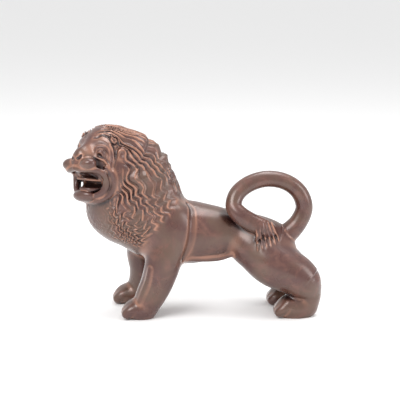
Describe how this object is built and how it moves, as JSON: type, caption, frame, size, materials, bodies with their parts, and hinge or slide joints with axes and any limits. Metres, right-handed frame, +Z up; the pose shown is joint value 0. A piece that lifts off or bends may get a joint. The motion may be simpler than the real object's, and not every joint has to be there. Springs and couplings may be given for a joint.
{
  "type": "lion figurine",
  "caption": "Standing glazed ceramic lion with its head turned and mouth open, a mane of wavy locks, braced forelegs, stretched hind legs and a tail curled up in a ring onto its hip.",
  "frame": {"origin": "on the ground, under the middle of the figure's length and width", "axes": "+Z up, the lion faces -X, its left side is -Y"},
  "size_m": [0.2548, 0.0948, 0.1901],
  "materials": {
    "glaze": "glossy dark red-brown lustre glaze with olive-grey and copper patches"
  },
  "bodies": {
    "root": {"lion": "glaze"}
  },
  "joints": []
}
